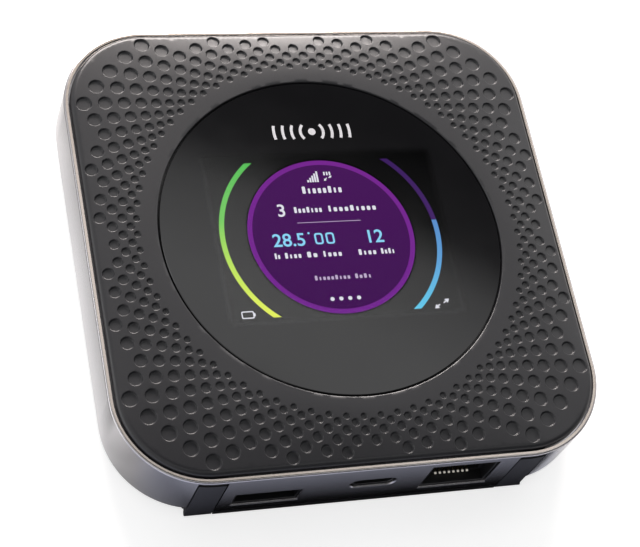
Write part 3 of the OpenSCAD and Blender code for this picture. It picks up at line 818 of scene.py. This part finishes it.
def words(name, lines, material):
    """Lines of small upright blocks of varied height and width, in place of words."""
    plates = Plates()
    for x_from, x_to, baseline, line_height, count in lines:
        step = (x_to - x_from) / count
        for k in range(count):
            variant = (k * 7 + count * 3 + int(10 * abs(x_from))) % 5
            height = line_height * (1.0 if k == 0 else (0.94 if variant == 1 else 0.70))
            width = step * (0.62 if variant != 3 else 0.40)
            centre_x = x_from + step * (k + 0.5)
            corner = min(width, height) * 0.3
            plates.prism(round_rect(centre_x, baseline + height / 2, width, height, corner, 3),
                         UPPER)
    plates.build(name, material)


def frame_outline(plates, centre_x, centre_y, outer, inner):
    """Hollow rounded rectangle; outer and inner are (width, height, corner)."""
    plates.strip(round_rect(centre_x, centre_y, *outer, 5),
                 round_rect(centre_x, centre_y, *inner, 5), UPPER, closed=True)


def unit():
    """Two hollow letter shapes and a small dot up to their left."""
    plates = Plates()
    for x in (-3.05, -0.55):
        frame_outline(plates, x, -0.6, outer=(1.9, 2.7, 0.6), inner=(1.1, 1.9, 0.3))
    plates.prism(circle(-5.1, 0.8, 0.26, 18), UPPER)
    plates.build("screen_unit", LIGHT_BLUE)


def divider():
    width, height = 14.2, 0.14
    plates = Plates()
    plates.prism(round_rect(0, 3.35, width, height, height * 0.32, 4), UPPER)
    plates.build("screen_divider", DIM)


def dots():
    plates = Plates()
    for k in range(4):
        plates.prism(circle(-2.85 + 1.95 * k, -14.9, 0.46, 24), UPPER)
    plates.build("screen_dots", WHITE)


def arrow(plates, tail, tip, width, head):
    """Arrow from tail to tip, with its shaft width and the length of its head."""
    length = math.dist(tail, tip)
    along_x, along_y = (tip[0] - tail[0]) / length, (tip[1] - tail[1]) / length
    neck = (tip[0] - along_x * head, tip[1] - along_y * head)

    def beside(point, offset):
        return (point[0] - along_y * offset, point[1] + along_x * offset)

    shaft, barb = width / 2, head * 0.62
    plates.prism([beside(tail, -shaft), beside(neck, -shaft), beside(neck, -barb), tip,
                  beside(neck, barb), beside(neck, shaft), beside(tail, shaft)], UPPER)


def icons():
    plates = Plates()
    # Rising signal bars
    for k in range(5):
        x = -2.75 + 0.55 * k
        plates.prism(rect(x - 0.2, 13.1, x + 0.2, 13.1 + (0.55 + 0.52 * k)), UPPER)
    # Three blocks over a pair of small arrows
    for k in range(3):
        plates.prism(round_rect(1.15 + 0.62 * k, 15.1, 0.36, 0.85, 0.08, 2), UPPER)
    arrow(plates, (1.55, 14.05), (0.85, 13.3), width=0.2, head=0.55)
    arrow(plates, (2.0, 14.0), (2.75, 14.55), width=0.2, head=0.55)
    # A pair of larger arrows in the front right corner
    arrow(plates, (20.6, -17.6), (19.3, -18.5), width=0.26, head=0.95)
    arrow(plates, (21.5, -17.3), (22.9, -16.4), width=0.26, head=0.95)
    # Battery outline with its terminal
    frame_outline(plates, -21.6, -17.4, outer=(2.7, 1.7, 0.35), inner=(2.2, 1.2, 0.12))
    plates.prism(rect(-20.25, -17.75, -19.98, -17.05), UPPER)
    plates.build("screen_icons", WHITE)


def window_mark():
    """Radio-wave mark printed on the glass: a dot with four arcs on each side."""
    centre_y = 25
    half_height, half_width = 1.72, 0.32
    layer = (window_high.z / MM + 0.002, window_high.z / MM + 0.012)
    plates = Plates()
    plates.prism(circle(0, centre_y, 0.85, 36), layer)
    for middle in (180, 0):
        for radius in (2.6, 4.6, 6.6, 8.6):
            half = math.degrees(math.asin(half_height / radius))
            outer, inner = (arc(0, centre_y, edge, middle - half, middle + half, 20)
                            for edge in (radius + half_width, radius - half_width))
            plates.strip(outer, inner, layer, closed=False)
    silver = finish("silver_print", srgb(196, 196, 200), rough=0.35, metallic=0.6, grain=0.2,
                    bump=0.001, tint=0.06)
    plates.build("window_mark", silver)


disc_and_ring()
gauge("screen_gauge_left", -1, GAUGE_REACH, -GAUGE_REACH, WARM)
gauge("screen_gauge_right_top", 1, GAUGE_REACH, GAUGE_SPLIT[0], VIOLET)
gauge("screen_gauge_right_low", 1, GAUGE_SPLIT[1], -GAUGE_REACH, BLUE)
number("screen_number_clients", "3", -10.1, 6.5, height=3.0, material=WHITE)
number("screen_number_used", "28.5", -9.7, -0.6, height=3.1, material=LIGHT_BLUE)
number("screen_number_days", "12", 9.7, -0.6, height=3.1, material=LIGHT_BLUE)
words("screen_words", TEXT_LINES, WHITE)
unit()
words("screen_footnote", FOOTNOTE_LINES, DIM)
divider()
dots()
icons()
window_mark()

# ---------------------------------------------------------------- finishes of the loaded pieces

# Each finish with the pieces that wear it
PIECE_FINISHES = (
    (window_glass(), ("display_window",)),
    (band_metallic(), ("side_band",)),
    (finish("housing_matt", srgb(26, 26, 28), rough=0.55, grain=0.16, bump=0.008, tint=0.10,
            bevel=0.12),
     ("rear_housing",)),
    (finish("door_fine_texture", srgb(30, 30, 32), rough=0.6, grain=0.22, bump=0.016, tint=0.10,
            bevel=0.15),
     ("battery_door",)),
    (flap_rubber(), ("rubber_feet", "antenna_cap_left", "antenna_cap_right")),
    (finish("stamped_steel", (0.34, 0.34, 0.36), rough=0.3, metallic=1.0, grain=0.08, bump=0.002,
            tint=0.06, brush=(1, 0.08, 1), bevel=0.06),
     ("lcd_frame", "sim_slot")),
    (finish("port_shell", (0.035, 0.036, 0.038), rough=0.42, metallic=0.9, grain=0.08,
            bump=0.002, tint=0.06, bevel=0.06),
     ("ethernet_shield", "usb_a_shell", "usb_c_shell")),
    (finish("shield_can_tin", (0.62, 0.62, 0.63), rough=0.38, metallic=1.0, grain=0.12,
            bump=0.003, tint=0.08, brush=(0.1, 1, 1), bevel=0.08),
     ("modem_shield", "wifi_shield", "power_shield")),
    (finish("gold_plate", (0.83, 0.58, 0.20), rough=0.24, metallic=1.0, grain=0.06, bump=0.001,
            tint=0.05),
     ("battery_contacts", "antenna_jack_left", "antenna_jack_right")),
    (contact_wire(), ("ethernet_contacts",)),
    (finish("port_plastic", srgb(12, 12, 14), rough=0.5, grain=0.1, bump=0.004, tint=0.1,
            bevel=0.08),
     ("battery_connector", "ethernet_jack", "usb_a_tongue", "usb_c_tongue", "power_switch",
      "reset_switch")),
    (finish("plunger_plastic", srgb(214, 214, 210), rough=0.45, grain=0.12, bump=0.003,
            tint=0.03),
     ("switch_plunger",)),
    (finish("board_solder_mask", srgb(14, 62, 40), rough=0.35, grain=0.25, bump=0.006, tint=0.18,
            coat=0.4),
     ("main_board",)),
    (finish("flex_polyimide", srgb(176, 112, 40), rough=0.32, grain=0.2, bump=0.003, tint=0.12),
     ("lcd_flex",)),
    (finish("foam", srgb(40, 40, 42), rough=0.95, grain=0.25, bump=0.05, tint=0.2),
     ("display_foam",)),
    (finish("aluminium_sheet", (0.66, 0.67, 0.69), rough=0.32, metallic=1.0, grain=0.15,
            bump=0.003, tint=0.05, brush=(0.05, 1, 1)),
     ("heat_spreader",)),
    (finish("thermal_pad", srgb(132, 150, 170), rough=0.85, grain=0.3, bump=0.01, tint=0.08),
     ("thermal_pad",)),
    (finish("screw_steel", (0.42, 0.42, 0.44), rough=0.28, metallic=1.0, grain=0.08, bump=0.002,
            tint=0.08, bevel=0.08),
     ("board_screws", "housing_screws")),
    (finish("battery_wrap", srgb(34, 35, 40), rough=0.36, grain=0.3, bump=0.004, tint=0.06,
            bevel=0.25),
     ("battery_pack",)),
    (finish("button_gloss", srgb(58, 57, 62), rough=0.3, grain=0.08, bump=0.002, tint=0.05,
            metallic=0.3, bevel=0.3),
     ("power_button",)),
    (finish("card_plastic", srgb(226, 228, 232), rough=0.4, grain=0.2, bump=0.002, tint=0.03),
     ("sim_card",)),
    (finish("reset_red", srgb(176, 52, 40), rough=0.45, grain=0.1, bump=0.002, tint=0.06),
     ("reset_button",)),
    (finish("antenna_film", srgb(170, 110, 66), rough=0.4, metallic=0.4, grain=0.3, bump=0.004,
            tint=0.14),
     ("main_antenna", "diversity_antenna", "wifi_antenna_left", "wifi_antenna_right")),
    (finish("adhesive", srgb(22, 22, 22), rough=0.8, grain=0.2, bump=0.003, tint=0.1),
     ("window_adhesive",)),
    (finish("lcd_off", (0.001, 0.001, 0.0012), rough=0.5, grain=0.2, bump=0.0002, tint=0.05,
            spec=0.0),
     ("lcd_panel",)),
)
for piece_material, piece_names in PIECE_FINISHES:
    for piece_name in piece_names:
        slots = NODES[piece_name].data.materials
        slots.clear()
        slots.append(piece_material)

# ---------------------------------------------------------------- floor (metres from here on)

FLOOR_HALF = 3.0
PAPER_COLOR = 0.62       # grey level and glow of the paper, as the camera sees it
PAPER_GLOW = 0.66
REFLECTED_COLOR = 0.80   # the same in reflections, before shading
REFLECTED_GLOW = 0.62
PORT_WALL_Y = -0.05275
CORNER_CENTRE = 0.0334   # centre of the front left corner, from the middle in -x and -y
# Shade round that corner, from the left side (0) to the front (1)
CORNER_SHADE = ((0.0, 1.0), (0.11, 0.79), (0.32, 0.50), (0.45, 0.43), (0.60, 0.34),
                (0.81, 0.20), (1.0, 0.0))


def floor_paper():
    """Paper that is plain and pale to the camera, but with painted shade and light round the box
    in reflections.
    """
    material, graph = new_material("floor_paper")
    cam_ray = graph.node("LightPath").outputs["Is Camera Ray"]
    geometry = graph.node("NewGeometry")
    x, y, _ = graph.split(geometry.outputs["Position"])

    # Painted shade and light below, seen only in reflections
    # Brightness in front of the port wall, to the right of the box and behind the wall
    ahead = graph.math("SUBTRACT", PORT_WALL_Y, y)
    near = graph.remap(ahead, 0.0018, 0.012, 0.0, 0.80)
    far = graph.remap(ahead, 0.03, 0.25, 0.0, 0.4)
    front = graph.math("ADD", near, far)
    beside = graph.remap(x, 0.047, 0.066)
    behind = graph.math("LESS_THAN", ahead, 0.0)
    open_side = graph.math("MAXIMUM", graph.math("MAXIMUM", front, beside), behind)

    # Brightness round the front left corner, by direction from its centre
    turn = graph.math("ARCTAN2", graph.math("ADD", y, CORNER_CENTRE),
                      graph.math("ADD", x, CORNER_CENTRE))
    corner_light = graph.grey_ramp(graph.remap(turn, -math.pi, -math.pi / 2), CORNER_SHADE)
    in_corner = graph.product(graph.math("LESS_THAN", x, -CORNER_CENTRE),
                              graph.math("LESS_THAN", y, -CORNER_CENTRE))
    shade = graph.mix("FLOAT", in_corner, open_side,
                      graph.math("MAXIMUM", corner_light, front))

    # Darker to the left and towards the back, but held up in front
    fade = graph.product(graph.remap(x, -0.0588, -0.0538, 0.32, 1.0),
                         graph.remap(y, 0.005, 0.045, 1.0, 0.72))
    held = graph.product(graph.remap(y, -0.036, -0.030, 1.0, 0.0), 0.80)
    fade = graph.math("MAXIMUM", fade, held)
    left_lit = graph.product(graph.remap(x, -0.057, -0.030, 1.10, 0.38), fade)

    reflected = graph.product(graph.product(shade, fade), REFLECTED_COLOR)
    level = graph.mix("FLOAT", cam_ray, reflected, PAPER_COLOR)
    grey = graph.node("CombineXYZ", {0: level, 1: level, 2: level}).outputs[0]

    # Painted bluish light, in reflections in front of the port wall
    in_front = graph.product(graph.remap(ahead, -0.006, 0.004),
                             graph.math("SUBTRACT", 1.0, beside))
    painted_cold_light = graph.mix("RGBA", graph.product(in_front, graph.math("SUBTRACT", 1.0, cam_ray)),
                     (1, 1, 1, 1), (0.90, 0.94, 1.13, 1))
    tinted = graph.node("VectorMath", {0: grey, 1: painted_cold_light}, operation="MULTIPLY").outputs[0]
    reflected_glow = graph.product(graph.product(shade, left_lit), REFLECTED_GLOW)
    paper = graph.node("BsdfPrincipled", {
        "Base Color": tinted, "Roughness": 0.9, "Specular IOR Level": 0.1,
        "Emission Color": painted_cold_light,
        "Emission Strength": graph.mix("FLOAT", cam_ray, reflected_glow, PAPER_GLOW)})

    # From below the paper is left out, so the underside can be seen
    from_below = graph.product(cam_ray, geometry.outputs["Backfacing"])
    gone = graph.node("BsdfTransparent")
    graph.surface(graph.mix_shader(from_below, paper.outputs[0], gone.outputs[0]))
    return material


def build_floor():
    mesh = bpy.data.meshes.new("floor")
    corners = rect(-FLOOR_HALF, -FLOOR_HALF, FLOOR_HALF, FLOOR_HALF)
    mesh.from_pydata([(x, y, 0) for x, y in corners], [], [(0, 1, 2, 3)])
    floor = bpy.data.objects.new("floor", mesh)
    scene.collection.objects.link(floor)
    mesh.materials.append(floor_paper())
    # The floor stays under the door, the lowest piece, so the lifted-off door isn't buried
    follow = floor.constraints.new("COPY_LOCATION")
    follow.target = NODES["battery_door"].parent
    follow.use_x = follow.use_y = False


build_floor()

# ---------------------------------------------------------------- world

# Brightness by direction: (position, level) stops
LOW_BY_HEIGHT = ((0.0, 1.0), (0.45, 0.85), (0.60, 0.9), (0.70, 0.95), (0.755, 0.8), (0.785, 0.0))
LOW_BACK = ((0.0, 0.10), (0.40, 0.14), (0.62, 0.75), (1.0, 1.0))   # front to back
LOW_LEFT = ((0.0, 1.0), (0.25, 0.75), (0.5, 0.0))                  # left to right
OVERHEAD = ((0.0, 0.0), (0.70, 0.03), (0.808, 0.04), (0.828, 0.14), (0.8405, 1.0),
            (0.865, 1.55), (0.885, 1.55), (0.905, 0.75), (0.935, 0.15), (1.0, 0.04))


def build_world():
    """Soft studio: white low behind and to the left, a dark gap, and a soft band overhead."""
    world = bpy.data.worlds.new("studio")
    scene.world = world
    world.use_nodes = True
    world.node_tree.nodes.clear()
    graph = Graph(world.node_tree)
    x, y, z = graph.split(graph.coords("Generated"))
    low = graph.grey_ramp(z, LOW_BY_HEIGHT)
    back = graph.grey_ramp(graph.remap(y, -1, 1), LOW_BACK)
    left = graph.grey_ramp(graph.remap(x, -1, 1), LOW_LEFT)
    side = graph.math("MAXIMUM", back, left)
    # The overhead band is tilted a little in x and y
    tilt = graph.math("SUBTRACT",
                      graph.product(graph.math("SUBTRACT", x, 0.30), 0.03),
                      graph.product(graph.math("SUBTRACT", y, 0.46), 0.05))
    high = graph.grey_ramp(graph.math("ADD", z, tilt), OVERHEAD)
    sky = graph.math("ADD", graph.product(low, side), high)
    # The camera itself sees plain white
    cam_ray = graph.node("LightPath").outputs["Is Camera Ray"]
    strength = graph.mix("FLOAT", cam_ray, sky, 1.0)
    background = graph.node("Background", {"Color": (1, 1, 1, 1), "Strength": strength})
    graph.node("OutputWorld", {"Surface": background.outputs[0]})


build_world()

# ---------------------------------------------------------------- lights and camera


def soft_box(name, place, target, size, radiance, color=(1, 1, 1)):
    """Rectangular light aimed at a target; its power follows from radiance and size."""
    light = bpy.data.lights.new(name, "AREA")
    light.shape = "RECTANGLE"
    light.size, light.size_y = size
    light.energy = radiance * math.pi * size[0] * size[1]
    light.color = color
    box = bpy.data.objects.new(name, light)
    box.location = place
    box.visible_camera = False
    aim = Vector(target) - Vector(place)
    box.rotation_euler = aim.to_track_quat("-Z", "Y").to_euler()
    scene.collection.objects.link(box)


soft_box("back_box", place=(0.10, 0.86, 0.41), target=(0, 0.03, 0.02), size=(0.72, 0.24),
         radiance=31.0, color=(1.0, 0.92, 0.885))
soft_box("right_box", place=(0.72, 0.50, 0.60), target=(0.02, 0, 0.02), size=(0.5, 0.4),
         radiance=0.8, color=(1.0, 0.98, 0.96))
soft_box("left_box", place=(-0.80, 0.10, 0.16), target=(-0.05, 0, 0.01), size=(0.6, 0.22),
         radiance=2.2)

# Camera place, and the directions of its own x, y and z axes
CAMERA_PLACE = (-0.12495353858294465, -0.17287886407778882, 0.35101092688749867)
CAMERA_RIGHT = (0.9494881395973117, -0.18552018441565174, 0.2530899720312539)
CAMERA_UP = (0.05152404589086463, 0.8877466070175027, 0.45743986978098466)
CAMERA_BACK = (-0.3095440929892541, -0.4212935115546, 0.8524636248162016)


def build_camera():
    data = bpy.data.cameras.new("camera")
    camera = bpy.data.objects.new("camera", data)
    scene.collection.objects.link(camera)
    rows = list(zip(CAMERA_RIGHT, CAMERA_UP, CAMERA_BACK, CAMERA_PLACE))
    camera.matrix_world = Matrix(rows + [(0, 0, 0, 1)])
    data.sensor_fit = "HORIZONTAL"
    data.sensor_width = 36.0
    data.lens = 104.70538151056945
    data.clip_start = 0.01
    data.clip_end = 20
    scene.camera = camera


build_camera()
